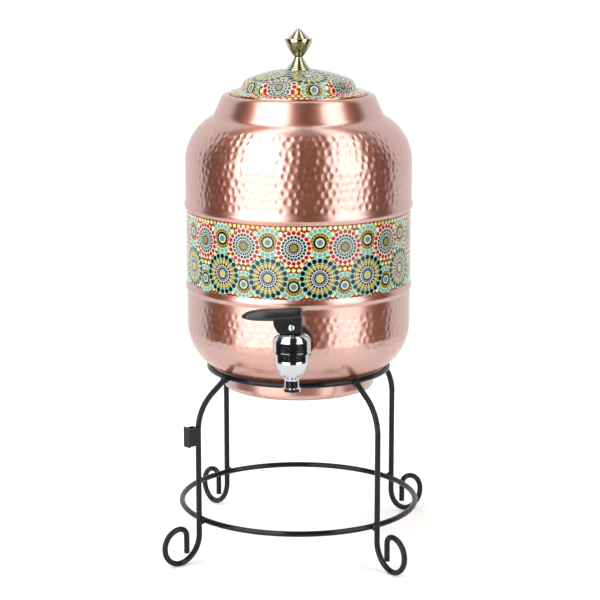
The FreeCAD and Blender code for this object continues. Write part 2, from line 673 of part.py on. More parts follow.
def make_tap_body():
    """The plated body: a bulb with its spout, and the shank that goes through the wall."""
    tap = body("tap_body", y=TAP_Y, z=TAP_Z)
    bead_foot = S["SpoutBeadRise"] - S["SpoutLength"]
    turned(tap, "bulb", [
        (ZERO, -S["SpoutLength"]),
        (S["SpoutBead"], -S["SpoutLength"]),
        (S["SpoutBead"], bead_foot),
        (S["SpoutRadius"], bead_foot + S["SpoutBeadSlope"]),
        (S["SpoutRadius"], -(S["BulbFoot"] + S["SpoutFilletRise"])),
        (S["SpoutNeckRadius"], -S["BulbFoot"], S["SpoutFillet"], "right"),
        (S["BulbRadius"], -S["BulbStraight"], S["BulbArc"], "left"),
        (S["BulbRadius"], S["SeamRise"] - S["SeamBand"]),
        (S["SeamRadius"], S["SeamRise"] - S["SeamBand"]),
        (S["SeamRadius"], S["SeamRise"]),
        (S["HeadRadius"], S["SeamRise"]),
        (S["HeadRadius"], S["HeadRise"]),
        (ZERO, S["HeadRise"]),
    ])
    shank_end = S["TapReach"] + S["ShankEnd"]
    turned(tap, "shank", [
        (ZERO, ZERO),
        (shank_end, ZERO),
        (shank_end, S["ShankRadius"]),
        (FLANGE_FACE, S["ShankRadius"]),
        (FLANGE_FACE, S["FlangeRadius"]),
        (FLANGE_FACE - S["FlangeRise"], S["FlangeRadius"]),
        (FLANGE_FACE - S["FlangeRise"], S["CollarRadius"]),
        (ZERO, S["CollarRadius"]),
    ], plane="YZ_Plane", axis="H_Axis")
    turned(tap, "chamber", [
        (ZERO, -S["SpoutLength"]),
        (S["SpoutBore"], -S["SpoutLength"]),
        (S["SpoutBore"], -S["SeatDepth"]),
        (S["ChamberRadius"], -S["SeatDepth"]),
        (S["ChamberRadius"], SPIGOT_LEDGE),
        (S["SpigotSeatRadius"], SPIGOT_LEDGE),
        (S["SpigotSeatRadius"], S["HeadRise"]),
        (ZERO, S["HeadRise"]),
    ], kind="Groove")
    inlet = draw_circle(new_sketch(tap, "inlet_sketch", "XZ_Plane"), ZERO, ZERO, S["ShankBore"])
    feature(tap, "Pocket", "inlet", inlet, Length=shank_end + OVERCUT)
    return tap


def make_bonnet():
    """The screwed cap over the valve, and the seal under its spigot."""
    spigot_foot = SPIGOT_LEDGE + S["SealRise"]
    bonnet = body("tap_bonnet", y=TAP_Y, z=TAP_Z)
    turned(bonnet, "bonnet", [
        (SPIGOT_INNER, spigot_foot),
        (SPIGOT_OUTER, spigot_foot),
        (SPIGOT_OUTER, S["HeadRise"]),
        (S["HeadRadius"], S["HeadRise"]),
        (S["BonnetTopRadius"], BONNET_TOP, S["BonnetArc"], "left"),
        (STEM_BORE, BONNET_TOP),
        (STEM_BORE, BONNET_UNDER),
        (SPIGOT_INNER, BONNET_UNDER),
    ])
    seal = body("bonnet_seal", y=TAP_Y, z=TAP_Z)
    turned(seal, "seal", [
        (SPIGOT_INNER, SPIGOT_LEDGE),
        (SPIGOT_OUTER, SPIGOT_LEDGE),
        (SPIGOT_OUTER, spigot_foot),
        (SPIGOT_INNER, spigot_foot),
    ])
    return [bonnet, seal]


def make_valve():
    """The seat cup, the stem whose disc lifts it, and the spring that shuts it."""
    disc_bore = S["StemDiscRadius"] + S["RunningPlay"]
    cup = body("seat_cup", y=TAP_Y, z=TAP_Z)
    turned(cup, "cup", [
        (ZERO, -S["SeatDepth"]),
        (S["CupRadius"], -S["SeatDepth"]),
        (S["CupRadius"], S["CupRise"] - S["SeatDepth"]),
        (S["CupHubRadius"], S["CupRise"] - S["SeatDepth"]),
        (S["CupHubRadius"], HUB_TOP),
        (STEM_BORE, HUB_TOP),
        (STEM_BORE, DISC_TOP + S["EndPlay"]),
        (disc_bore, DISC_TOP + S["EndPlay"]),
        (disc_bore, DISC_BOTTOM - S["EndPlay"]),
        (ZERO, DISC_BOTTOM - S["EndPlay"]),
    ])
    stem = body("valve_stem", y=TAP_Y, z=TAP_Z)
    turned(stem, "stem", [
        (ZERO, DISC_BOTTOM),
        (S["StemDiscRadius"], DISC_BOTTOM),
        (S["StemDiscRadius"], DISC_TOP),
        (S["StemRadius"], DISC_TOP),
        (S["StemRadius"], PIN_Z + S["StemTop"]),
        (ZERO, PIN_Z + S["StemTop"]),
    ])
    doc.recompute()
    hole = draw_circle(new_sketch(stem, "pin_hole_sketch", "XZ_Plane"), ZERO, PIN_Z, S["PinRadius"])
    feature(stem, "Pocket", "pin_hole", hole, Length=S["StemRadius"] * 4, Midplane=True)
    spring = body("valve_spring", y=TAP_Y, z=TAP_Z)
    low = HUB_TOP + S["EndPlay"] + S["SpringWire"]
    rise = BONNET_UNDER - S["EndPlay"] - S["SpringWire"] - low
    wire = draw_circle(new_sketch(spring, "wire", "XZ_Plane"), S["SpringRadius"], low, S["SpringWire"])
    feature(
        spring, "AdditiveHelix", "coil", wire,
        ReferenceAxis=(wire, ["V_Axis"]), Mode="pitch-height-angle",
        Pitch=rise / S["SpringTurns"], Height=rise,
    )
    return [cup, stem, spring]


def make_pin():
    """The pin that the lever turns on, with a domed head in front."""
    reach = S["BlockWidth"] / 2 + S["SideGap"]
    head = S["PinHeadRise"]
    head_arc = (S["PinHeadRadius"] * S["PinHeadRadius"] + head * head) / (head * 2)
    pin = body("lever_pin", y=TAP_Y, z=TAP_Z + PIN_Z)
    turned(pin, "pin", [
        (reach, ZERO),
        (reach, S["PinRadius"]),
        (-reach, S["PinRadius"]),
        (-reach, S["PinHeadRadius"]),
        (-(reach + head), ZERO, head_arc, "left"),
    ], plane="YZ_Plane", axis="H_Axis")
    return pin


def make_lever():
    """The moulded lever: a block with a round heel, a slot for the stem and a paddle."""
    half = S["PaddleWidth"] / 2
    taper_start = S["PaddleTaper"] - S["PaddleLength"]
    tip_arc = (S["PaddleTaper"] * S["PaddleTaper"] + half * half) / S["PaddleWidth"]
    lever = body("lever_blank", y=TAP_Y, z=TAP_Z + PIN_Z)
    block = draw(new_sketch(lever, "block_sketch", "XZ_Plane"), [
        (S["BlockRight"], -S["CamRadius"]),
        (S["BlockRight"], S["PaddleUnder"] + OVERCUT),
        (-S["BlockLeft"], S["PaddleUnder"] + OVERCUT),
        (-S["BlockLeft"], S["PaddleUnder"]),
        (-(S["CamShift"] + S["CamRadius"]), ZERO),
        (-S["CamShift"], -S["CamRadius"], S["CamRadius"], "left"),
    ])
    feature(lever, "Pad", "block", block, Length=S["BlockWidth"], Midplane=True)
    plan = draw(new_sketch(lever, "paddle_sketch", "XY_Plane", S["PaddleUnder"]), [
        (S["BlockRight"], -half),
        (S["BlockRight"], half),
        (taper_start, half),
        (-S["PaddleLength"], ZERO, tip_arc, "left"),
        (taper_start, -half, tip_arc, "left"),
    ])
    air_top = S["PaddleBack"] + S["PaddleWidth"]
    feature(lever, "Pad", "paddle", plan, Length=air_top - S["PaddleUnder"])
    doc.recompute()
    past_tip = -(S["PaddleLength"] + OVERCUT)
    past_block = S["BlockRight"] + OVERCUT
    air = draw(new_sketch(lever, "top_sketch", "XZ_Plane"), [
        (past_tip, S["PaddleTip"]),
        (-S["PaddleMiddleReach"], S["PaddleMiddle"], S["PaddleTopArc"], "right"),
        (past_block, S["PaddleBack"], S["PaddleSaddleArc"], "left"),
        (past_block, air_top + OVERCUT),
        (past_tip, air_top + OVERCUT),
    ])
    feature(lever, "Pocket", "top", air, Length=S["PaddleWidth"] * 2, Midplane=True)
    stem_sweep = root(S["StemRadius"] * S["StemRadius"] + S["StemTop"] * S["StemTop"]) + S["SideGap"]
    lean = S["CamRadius"] * sine(S["LeverTilt"]) + S["StemRadius"]
    slot_left = -(lean / cosine(S["LeverTilt"]) + S["SideGap"])
    slot = draw(new_sketch(lever, "slot_sketch", "XZ_Plane"), [
        (slot_left, -(S["CamRadius"] + OVERCUT)),
        (stem_sweep, -(S["CamRadius"] + OVERCUT)),
        (stem_sweep, stem_sweep),
        (slot_left, stem_sweep),
    ])
    slot_width = (S["StemRadius"] + S["SideGap"]) * 2
    feature(lever, "Pocket", "slot", slot, Length=slot_width, Midplane=True)
    bore_sketch = new_sketch(lever, "bore_sketch", "XZ_Plane")
    bore = draw_circle(bore_sketch, ZERO, ZERO, S["PinRadius"] + S["RunningPlay"])
    feature(lever, "Pocket", "bore", bore, Length=S["PaddleWidth"] * 2, Midplane=True)
    run = S["PaddleLength"] - S["PaddleMiddleReach"]
    slope = math.degrees(math.atan2((S["PaddleMiddle"] - S["PaddleTip"]).value, run.value))
    thumb = primitive(
        "Cylinder", "thumb_hollow",
        rotation=FreeCAD.Rotation(FreeCAD.Vector(0, 1, 0), 90 - slope),
        at=(
            -(S["PaddleLength"] + OVERCUT),
            TAP_Y,
            TAP_Z + PIN_Z + S["PaddleTip"] + S["ThumbRadius"] - S["ThumbDepth"],
        ),
        Radius=S["ThumbRadius"],
        Height=S["PaddleLength"] - S["BlockLeft"] / 2,
    )
    return cut("lever_handle", lever, thumb)


def ring_along_y(name, start, length, radius, bore):
    """A ring whose axis is the inlet's, from start towards the pot's middle."""
    where = (ZERO, start, TAP_Z)
    blank = primitive("Cylinder", f"{name}_blank", ALONG_Y, where, Radius=radius, Height=length)
    hole = primitive(
        "Cylinder", f"{name}_hole", ALONG_Y, where, Radius=bore, Height=length,
    )
    return cut(f"{name}_ring", blank, hole)


def make_tap_seals():
    """The rubber washers shaped by the wall they seal on, and the nut that pulls them tight."""
    bore = S["ShankRadius"] + S["NutPlay"]
    outside = make_form("outer_form", [(ZERO, ZERO), *lower_wall(ZERO), (ZERO, SEAM_HEIGHT)])
    inner_path = [(ZERO, S["Wall"]), *lower_wall(S["Wall"]), (ZERO, SEAM_HEIGHT)]
    inside = make_form("inner_form", inner_path)
    depth = S["WasherRise"] * 2
    outer_start = -(S["DrumRadius"] + S["WasherRise"])
    outer_ring = ring_along_y("outer", outer_start, depth, S["WasherRadius"], bore)
    outer_washer = cut("outer_washer", outer_ring, outside)
    nut_face = -(S["DrumRadius"] - S["Wall"] - S["WasherRise"])
    inner_ring = ring_along_y("inner", nut_face - depth, depth, S["InnerWasherRadius"], bore)
    inner_washer = group("inner_washer", "MultiCommon", [inner_ring, inside])
    hexagon = primitive("Prism", "nut_blank", ALONG_Y, (ZERO, nut_face, TAP_Z), Height=S["NutRise"])
    hexagon.Polygon = 6
    bind(hexagon, Circumradius=S["NutAcross"] / root(sized(3)))
    thread = primitive(
        "Cylinder", "nut_bore", ALONG_Y, (ZERO, nut_face, TAP_Z), Radius=bore, Height=S["NutRise"],
    )
    return [outer_washer, inner_washer, cut("tap_nut", hexagon, thread)]


# Stand
RING_RADIUS = S["DrumRadius"] - S["RingIn"]
LEG_RADIUS = S["DrumRadius"] + S["LegOut"]
TOP_RING_Z = S["BaseHeight"] + S["BowlTop"] - side(
    S["BowlRadius"] + S["RodRadius"] + S["SeatGap"], RING_RADIUS - BOWL_CENTRE
)
SLOPE_RUN = LEG_RADIUS - RING_RADIUS
SLOPE = root(SLOPE_RUN * SLOPE_RUN + S["LegDrop"] * S["LegDrop"])
LOOP_RADIUS = LEG_RADIUS + S["FootBend"] - S["ScrollShift"]
LOOP_Z = S["RodRadius"] - S["FootFlat"] + S["ScrollRadius"]
LOWER_RING_RADIUS = LEG_RADIUS - S["RodRadius"] * 2 - S["WeldGap"]
LEGS = {
    "leg_front_left": 225,
    "leg_front_right": 315,
    "leg_back_right": 45,
    "leg_back_left": 135,
}


def leg_turn(name):
    """The angle of a leg round the pot's axis, in degrees."""
    return sized(LEGS[name]) - S["StandAngle"]


def on_slope(reach):
    """A point of the leg's sloping top, at a distance from the top ring's centreline."""
    share = reach / SLOPE
    return (RING_RADIUS + SLOPE_RUN * share, TOP_RING_Z - S["LegDrop"] * share)


def make_leg(name):
    """One leg of bent rod, from the curl of its foot to the weld under the pot."""
    reach = S["FootBend"] - S["ScrollRadius"]
    bend_z = LOOP_Z + side(reach, S["ScrollShift"])
    tangent = S["LegBend"] * SLOPE_RUN / (SLOPE + S["LegDrop"])
    curl_z = LOOP_Z + S["ScrollRadius"] - S["CurlRadius"]
    tail_radius = LOOP_RADIUS - S["CurlRadius"]
    leg = body(name, turn=leg_turn(name))
    route = draw(new_sketch(leg, f"{name}_route", "XZ_Plane"), [
        (tail_radius, curl_z - S["CurlTail"]),
        (tail_radius, curl_z),
        (LOOP_RADIUS, curl_z + S["CurlRadius"], S["CurlRadius"], "right"),
        (LOOP_RADIUS + S["ScrollRadius"], LOOP_Z, S["ScrollRadius"], "right"),
        (
            LOOP_RADIUS - S["ScrollShift"] * S["ScrollRadius"] / reach,
            LOOP_Z - (bend_z - LOOP_Z) * S["ScrollRadius"] / reach,
            S["ScrollRadius"],
            "right",
        ),
        (LEG_RADIUS, bend_z, S["FootBend"], "right"),
        (LEG_RADIUS, TOP_RING_Z - S["LegDrop"] - tangent),
        (*on_slope(SLOPE - tangent), S["LegBend"], "left"),
        on_slope(S["RodRadius"] + S["WeldGap"]),
    ], closed=False)
    rod_sketch = new_sketch(leg, f"{name}_rod", "XY_Plane", curl_z - S["CurlTail"])
    rod = draw_circle(rod_sketch, tail_radius, ZERO, S["RodRadius"])
    doc.recompute()
    edges = [f"Edge{number + 1}" for number in range(len(route.Shape.Edges))]
    feature(leg, "AdditivePipe", f"{name}_bent", rod, Spine=(route, edges))
    route.Visibility = False
    doc.recompute()
    under = draw(new_sketch(leg, f"{name}_ground", "XZ_Plane"), [
        (LOOP_RADIUS - S["CurlRadius"], -S["RodRadius"]),
        (LOOP_RADIUS + S["CurlRadius"], -S["RodRadius"]),
        (LOOP_RADIUS + S["CurlRadius"], ZERO),
        (LOOP_RADIUS - S["CurlRadius"], ZERO),
    ])
    feature(leg, "Pocket", f"{name}_flat", under, Length=S["RodRadius"] * 4, Midplane=True)
    return leg


def make_rings():
    """The ring that the pot sits in, and the ring that braces the legs."""
    top = primitive("Torus", "top_ring", None, (ZERO, ZERO, TOP_RING_Z))
    bind(top, Radius1=RING_RADIUS, Radius2=S["RodRadius"])
    lower = primitive("Torus", "lower_ring", None, (ZERO, ZERO, S["LowerRingHeight"]))
    bind(lower, Radius1=LOWER_RING_RADIUS, Radius2=S["RodRadius"])
    return [top, lower]


def make_welds(label, radius, height, legs, ring):
    """A weld at each leg: a bead that fills the corners between leg and ring."""
    beads = []
    for name, leg in legs.items():
        turn = leg_turn(name)
        where = (radius * cosine(turn), radius * sine(turn), height)
        ball = primitive("Sphere", f"{label}_{name}", None, where, Radius=S["WeldRadius"])
        past_leg = cut(f"{label}_{name}_past_leg", ball, leg)
        beads.append(cut(f"{label}_{name}_bead", past_leg, ring))
    return group(label, "Compound", beads)


def make_holder_socket(leg):
    """The folded sheet socket on one leg, and the two weld beads behind it."""
    turn = leg_turn("leg_front_left")
    inner = LEG_RADIUS + S["RodRadius"] + S["WeldGap"]
    outer = inner + S["SocketReach"]
    half = S["SocketWidth"] / 2
    clear = half - S["SocketWall"]
    socket = body("holder_socket", turn=turn)
    corners = [(inner, -half), (outer, -half), (outer, half), (inner, half)]
    walls = draw(new_sketch(socket, "walls", "XY_Plane", S["SocketBase"]), corners)
    feature(socket, "Pad", "folded_walls", walls, Length=S["SocketRise"])
    lip_base = S["SocketBase"] - S["SocketLip"]
    lip = draw(new_sketch(socket, "lip", "XY_Plane", lip_base), [
        (outer - S["SocketWall"], -half),
        (outer, -half),
        (outer, half),
        (outer - S["SocketWall"], half),
    ])
    feature(socket, "Pad", "outer_lip", lip, Length=S["SocketRise"] + S["SocketLip"] * 2)
    doc.recompute()
    opening = draw(new_sketch(socket, "opening", "XY_Plane", lip_base), [
        (inner + S["SocketWall"], -clear),
        (outer - S["SocketWall"], -clear),
        (outer - S["SocketWall"], clear),
        (inner + S["SocketWall"], clear),
    ])
    through = S["SocketRise"] + S["SocketLip"] * 3
    feature(socket, "Pocket", "slot_through", opening, Length=through, Reversed=True)
    beads = []
    bead_radius = inner - S["BeadSet"]
    for side_name, across in (("left", -S["BeadSpread"]), ("right", S["BeadSpread"])):
        where = (
            bead_radius * cosine(turn) - across * sine(turn),
            bead_radius * sine(turn) + across * cosine(turn),
            S["SocketBase"] + (S["SocketRise"] - S["BeadLength"]) / 2,
        )
        rod = primitive(
            "Cylinder", f"bead_{side_name}", None, where,
            Radius=S["BeadRadius"], Height=S["BeadLength"],
        )
        beads.append(cut(f"bead_{side_name}_cut", cut(f"bead_{side_name}_past", rod, leg), socket))
    return [socket, group("socket_weld", "Compound", beads)]


def make_stand():
    """The welded stand."""
    legs = {name: make_leg(name) for name in LEGS}
    top, lower = make_rings()
    weld_radius, weld_z = on_slope(S["RodRadius"])
    upper_welds = make_welds("upper_welds", weld_radius, weld_z, legs, top)
    weld_radius = LEG_RADIUS - S["RodRadius"]
    lower_welds = make_welds("lower_welds", weld_radius, S["LowerRingHeight"], legs, lower)
    socket = make_holder_socket(legs["leg_front_left"])
    return [top, lower, *legs.values(), upper_welds, lower_welds, *socket]


pieces = [
    *make_stand(),
    *make_pot(), make_band(),
    *make_lid(), *make_knob(),
    make_tap_body(), *make_bonnet(), *make_tap_seals(),
    *make_valve(), make_pin(), make_lever(),
]
doc.recompute()

for thing in doc.Objects:
    if {"Invalid", "Error"} & set(thing.State):
        raise RuntimeError(f"{thing.Label} could not be made: {thing.State}")
os.makedirs("parts", exist_ok=True)
for piece in pieces:
    if piece.Shape.isNull() or not piece.Shape.isValid():
        raise RuntimeError(f"{piece.Label} is not a valid solid")
for piece in pieces:
    piece.Shape.exportStep(f"parts/{piece.Label}.step")
    print(piece.Label, len(piece.Shape.Solids), round(piece.Shape.Volume, 1))
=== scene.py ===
import json
import math

import bmesh
import bpy
import numpy as np
from mathutils import Matrix, Vector


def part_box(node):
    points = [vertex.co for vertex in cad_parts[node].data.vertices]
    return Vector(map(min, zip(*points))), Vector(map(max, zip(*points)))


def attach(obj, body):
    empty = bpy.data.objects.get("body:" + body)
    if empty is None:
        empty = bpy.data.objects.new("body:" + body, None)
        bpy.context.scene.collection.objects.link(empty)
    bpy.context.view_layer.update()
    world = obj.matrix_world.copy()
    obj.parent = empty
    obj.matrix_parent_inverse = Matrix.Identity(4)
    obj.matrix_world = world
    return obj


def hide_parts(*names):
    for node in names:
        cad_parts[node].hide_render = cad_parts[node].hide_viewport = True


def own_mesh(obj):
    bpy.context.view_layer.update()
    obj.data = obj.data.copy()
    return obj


# A hammered copper water pot with a printed band, a lid with a turned knob and a lever tap,
# on a wire stand. Lengths are in millimetres in the tables and in metres in Blender.

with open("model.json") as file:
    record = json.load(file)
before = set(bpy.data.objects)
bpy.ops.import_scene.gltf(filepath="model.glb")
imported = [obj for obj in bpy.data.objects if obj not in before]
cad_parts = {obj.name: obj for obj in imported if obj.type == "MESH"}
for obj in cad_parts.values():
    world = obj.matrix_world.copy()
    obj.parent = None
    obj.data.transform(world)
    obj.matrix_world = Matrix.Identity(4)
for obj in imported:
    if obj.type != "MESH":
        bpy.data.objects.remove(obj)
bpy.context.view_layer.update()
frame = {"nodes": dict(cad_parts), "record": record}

MM = 0.001

# The camera, fitted to the photograph's drum, beads and stand rings, in metres and radians
CAMERA_AZIMUTH = math.radians(2.4)
CAMERA_DISTANCE = 1.8005
CAMERA_HEIGHT = 0.6
CAMERA_PITCH = math.radians(11.8)
IMAGE_SIDE_PX = 600
FOCAL_LENGTH_PX = 2033.1
CENTRE_COLUMN_PX = 298.6
SENSOR_WIDTH = 36.0

WHITE = [1.0, 1.0, 1.0, 1.0]

# Where a Mix node has its two colours and its result: the names of these sockets aren't unique
MIX_FIRST, MIX_SECOND, MIX_RESULT = 6, 7, 2


def linear(hex_colour):
    """An sRGB hex colour as the linear colour that shaders take."""
    channels = [int(hex_colour[i:i + 2], 16) / 255 for i in (0, 2, 4)]
    return [c / 12.92 if c <= 0.04045 else ((c + 0.055) / 1.055) ** 2.4 for c in channels] + [1.0]


class Field:
    """A number that varies over a surface: arithmetic on it adds math nodes."""

    def __init__(self, tree, socket):
        self.tree = tree
        self.socket = socket

    def step(self, operation, *others):
        return Field(self.tree, node(self.tree, "Math", self, *others, operation=operation))

    def __add__(self, other):
        return self.step("ADD", other)

    def __sub__(self, other):
        return self.step("SUBTRACT", other)

    def __mul__(self, other):
        return self.step("MULTIPLY", other)

    def __truediv__(self, other):
        return self.step("DIVIDE", other)

    def __lt__(self, other):
        return self.step("LESS_THAN", other)

    def __neg__(self):
        return self * -1.0

    def angle_to(self, other):
        """The angle of the point (self, other) about the origin."""
        return Field(self.tree, node(self.tree, "Math", other, self, operation="ARCTAN2"))

    def length_with(self, other):
        """The distance of the point (self, other) from the origin."""
        return (self * self + other * other).step("SQRT")

    def folded(self, period):
        """The distance from the nearest multiple of period, with its sign."""
        share = self / period
        return (share - share.step("ROUND")) * period


def node(tree, kind, *inputs, output=0, plugs=None, stops=(), between="LINEAR", **settings):
    """Adds a shader node with its settings and links, and returns one of its outputs.

    inputs fill its sockets in order and plugs fill the named ones, each with a value, a
    socket or a Field. stops are a colour ramp's (position, colour), and between says how it
    goes from one to the next.
    """
    made = tree.nodes.new("ShaderNode" + kind)
    for name, value in settings.items():
        setattr(made, name, value)
    for name, value in [*enumerate(inputs), *(plugs or {}).items()]:
        value = value.socket if isinstance(value, Field) else value
        if isinstance(value, bpy.types.NodeSocket):
            tree.links.new(value, made.inputs[name])
        elif value is not None:
            made.inputs[name].default_value = value
    if stops:
        made.color_ramp.interpolation = between
        elements = made.color_ramp.elements
        while len(elements) < len(stops):
            elements.new(0.5)
        for element, (position, colour) in zip(elements, stops):
            element.position = position
            element.color = colour
    return made.outputs[output]


def surface(name, **settings):
    """A new material, its node tree and its shader."""
    material = bpy.data.materials.new(name)
    material.use_nodes = True
    tree = material.node_tree
    shader = tree.nodes["Principled BSDF"]
    for label, value in settings.items():
        shader.inputs[label.replace("_", " ").title().replace("Ior", "IOR")].default_value = value
    return material, tree, shader


# The noise's range from the darkest to the lightest cloud, and how the fine bump follows it:
# its grains across one cloud, and its depth in millimetres
CLOUD_RANGE = (0.3, 0.7)
FINE_GRAINS = 8
FINE_DEPTH = 0.1


def finish(name, colour, spread, grain_mm, roughness, bump, **settings):
    """A material with slow changes of colour and roughness over it, and a fine bump.

    spread is the share by which its colour goes up and down, grain_mm the size of its clouds,
    and roughness the least and the greatest.
    """
    material, tree, shader = surface(name, **settings)
    metres = node(tree, "TexCoord", output="Object")
    clouds = node(tree, "TexNoise", metres, plugs={"Scale": 1 / (grain_mm * MM), "Detail": 4.0})
    dark, light = (
        [channel * share for channel in linear(colour)[:3]] + [1.0] for share in (1 - spread, 1 + spread)
    )
    tone = node(tree, "ValToRGB", clouds, stops=list(zip(CLOUD_RANGE, (dark, light))))
    tree.links.new(tone, shader.inputs["Base Color"])
    rough = node(tree, "MapRange", clouds, *CLOUD_RANGE, *roughness)
    tree.links.new(rough, shader.inputs["Roughness"])
    if bump:
        scale = FINE_GRAINS / (grain_mm * MM)
        fine = node(tree, "TexNoise", metres, plugs={"Scale": scale, "Detail": 2.0})
        height = {"Strength": bump, "Distance": FINE_DEPTH * MM, "Height": fine}
        tree.links.new(node(tree, "Bump", plugs=height), shader.inputs["Normal"])
    return material


def copper_sheet():
    """Copper sheet, spun, hammered and brushed round to a satin, under clear lacquer.

    The brushing draws what it mirrors out along the pot, warm and blurred. The lacquer lays a
    paler, sharper image over it, so the softboxes become near-white bands between red-brown
    ones, and each dent catches a light and a dark edge. A lacquer's IOR is about 1.5. It is
    raised here to match how white those bands are in the photograph.
    """
    material = finish(
        "copper_sheet", "BA5E32", spread=0.04, grain_mm=14.0, roughness=(0.44, 0.5), bump=0.05,
        metallic=1.0, anisotropic=0.6, anisotropic_rotation=0.25,
        coat_weight=1.0, coat_ior=3.8, coat_roughness=0.22)
    tree = material.node_tree
    around = node(tree, "Tangent", direction_type="RADIAL", axis="Z")
    tree.links.new(around, tree.nodes["Principled BSDF"].inputs["Tangent"])
    return material


def finishes():
    """The material of each of the record's slots that isn't printed."""
    return {
        "copper": copper_sheet(),
        # Nickel brass, turned and polished: a yellowish grey that mirrors in bright and dark rings
        "nickel_brass": finish(
            "turned_brass", "B3AE94", spread=0.06, grain_mm=6.0, roughness=(0.1, 0.16), bump=0.0,
            metallic=1.0),
        # Chrome plating on a polished casting: a sharp, slightly blue mirror, black against white
        "chrome_plate": finish(
            "chrome_plate", "CFD2D8", spread=0.02, grain_mm=12.0, roughness=(0.03, 0.06), bump=0.0,
            metallic=1.0),
        # Black ABS, moulded with a half gloss: dull grey lights along its edges
        "black_moulding": finish(
            "black_moulding", "111214", spread=0.12, grain_mm=5.0, roughness=(0.24, 0.36), bump=0.06,
            specular_ior_level=0.4, coat_weight=0.3, coat_roughness=0.1),
        # Nitrile rubber, pressed and matt: black with hardly a highlight
        "black_rubber": finish(
            "black_rubber", "161617", spread=0.12, grain_mm=3.0, roughness=(0.6, 0.75), bump=0.2),
        # Silicone rubber, pressed and matt: a soft whitish grey
        "silicone": finish(
            "silicone", "CFCEC8", spread=0.12, grain_mm=3.0, roughness=(0.6, 0.75), bump=0.2),
        # Steel, drawn and turned: a plain grey metal with a broad soft light
        "steel": finish(
            "drawn_steel", "C9CACC", spread=0.05, grain_mm=2.0, roughness=(0.22, 0.34), bump=0.1,
            metallic=1.0),
        # Nylon, moulded in its natural white: faintly waxy
        "white_nylon": finish(
            "white_nylon", "E4E3DC", spread=0.03, grain_mm=5.0, roughness=(0.4, 0.5), bump=0.1),
        # Powder coating, baked on steel rod: a bluish black with thin lights along the rods,
        # which its fine orange peel breaks up
        "coated_rod": finish(
            "coated_rod", "0A101A", spread=0.12, grain_mm=4.0, roughness=(0.38, 0.48), bump=0.12,
            specular_ior_level=0.05, coat_weight=0.5, coat_roughness=0.08),
    }


# How wide the print's dots are: their radius as a share of their pitch
ROSETTE_DOT = 0.44
GROUND_DOT = 0.36
GROUND_RED = "84201A"
GROUND_DOTS = [(0.0, "CFDD8E"), (0.45, "F3C25C"), (0.7, "9CCB86"), (0.85, "F4E3A4")]

# Rosettes: how many dots a ring has, the colours of the rings of dots from the rim inwards,
# and those of the grounds under them, the last for the middle
GREEN_WHEEL = (20, ["041613", "B9B35E", "07090F", "1C4663", "07090F", "5B8C9C"],
               ["8FC4B8", "6E1713", "DCD6C0", "C4D4D4", "0B1218", "DCDCC8", "C9AE48"])
RED_WHEEL = (20, ["9A121C", "083E44", "07090F", "1E4C66", "080A0C"],
             ["E4CFBE", "CFCBBA", "B4CAC2", "DEDAC8", "0C120F", "857C3C"])
YELLOW_WHEEL = (16, ["68A094", "7A5514"],
                ["B2D8D0", "C6AC3C", "0A090F", "C4D0C4", "5E7C76"])

# The band's rosettes, in the order in which they are laid over each other: height of the centre
# above the band's edge, radius, kind, and whether they stand between the others
BAND_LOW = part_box("printed_band")[0][2] / MM
BAND_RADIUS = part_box("printed_band")[1][0] / MM
BAND_TILES = 14
BAND_PITCH = math.tau * BAND_RADIUS / BAND_TILES
BAND_ROSETTES = [
    (49.5, 13.0, YELLOW_WHEEL, False), (11.5, 12.0, YELLOW_WHEEL, True),
    (45.0, 15.5, RED_WHEEL, True), (18.5, 18.0, GREEN_WHEEL, False),
]
BAND_DOT_PITCH = 4.505

# The lid's rosettes in the same way, with the centre's distance from the lid's axis over the
# dome. That way is longer than the radius, by LID_FALL of the fall from the dome's top.
LID_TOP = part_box("lid_print")[1][2] / MM
LID_FALL = 0.75
LID_SECTOR = math.tau / 5
LID_ROSETTES = [
    (60.0, 14.0, YELLOW_WHEEL, False), (57.0, 18.5, (18, *RED_WHEEL[1:]), True),
    (32.0, 21.0, (18, *GREEN_WHEEL[1:]), False),
]
LID_DOT_PITCH = 6.2


def rosette(x, y, radius, count, dots, grounds):
    """Rings of dots round a point, each ring a fixed share of the one outside it.

    Gives the rosette's colour and where it lies.
    """
    tree = x.tree
    reach = x.length_with(y)
    inward = (reach / radius).step("LOGARITHM", math.e) * (-count / math.tau)
    ring = inward.step("FLOOR")
    turn = x.angle_to(y) * (count / math.tau) + ring * 0.5
    across = turn.folded(1.0)
    along = inward - ring - 0.5
    is_dot = across.length_with(along) < ROSETTE_DOT
    share = (ring + 0.5) / len(grounds)
    dot_colour, ground = (
        node(tree, "ValToRGB", share, between="CONSTANT",
             stops=[(number / len(grounds), linear(colour)) for number, colour in enumerate(colours)])
        for colours in (dots, grounds)
    )
    in_rings = is_dot * (ring < len(dots))
    plugs = {MIX_FIRST: ground, MIX_SECOND: dot_colour}
    colour = node(tree, "Mix", in_rings, output=MIX_RESULT, plugs=plugs, data_type="RGBA")
    return colour, reach < radius


def dot_ground(x, y, pitch):
    """Staggered rows of yellow-green and amber dots on red."""
    tree = x.tree
    row = (y / pitch).step("ROUND")
    shifted = x / pitch + row * 0.5
    across = shifted.folded(1.0)
    is_dot = across.length_with((y / pitch).folded(1.0)) < GROUND_DOT
    cell = node(tree, "CombineXYZ", shifted.step("ROUND"), row)
    pick = node(tree, "TexWhiteNoise", cell)
    stops = [(position, linear(colour)) for position, colour in GROUND_DOTS]
    dots = node(tree, "ValToRGB", pick, stops=stops, between="CONSTANT")
    plugs = {MIX_FIRST: linear(GROUND_RED), MIX_SECOND: dots}
    return node(tree, "Mix", is_dot, output=MIX_RESULT, plugs=plugs, data_type="RGBA")


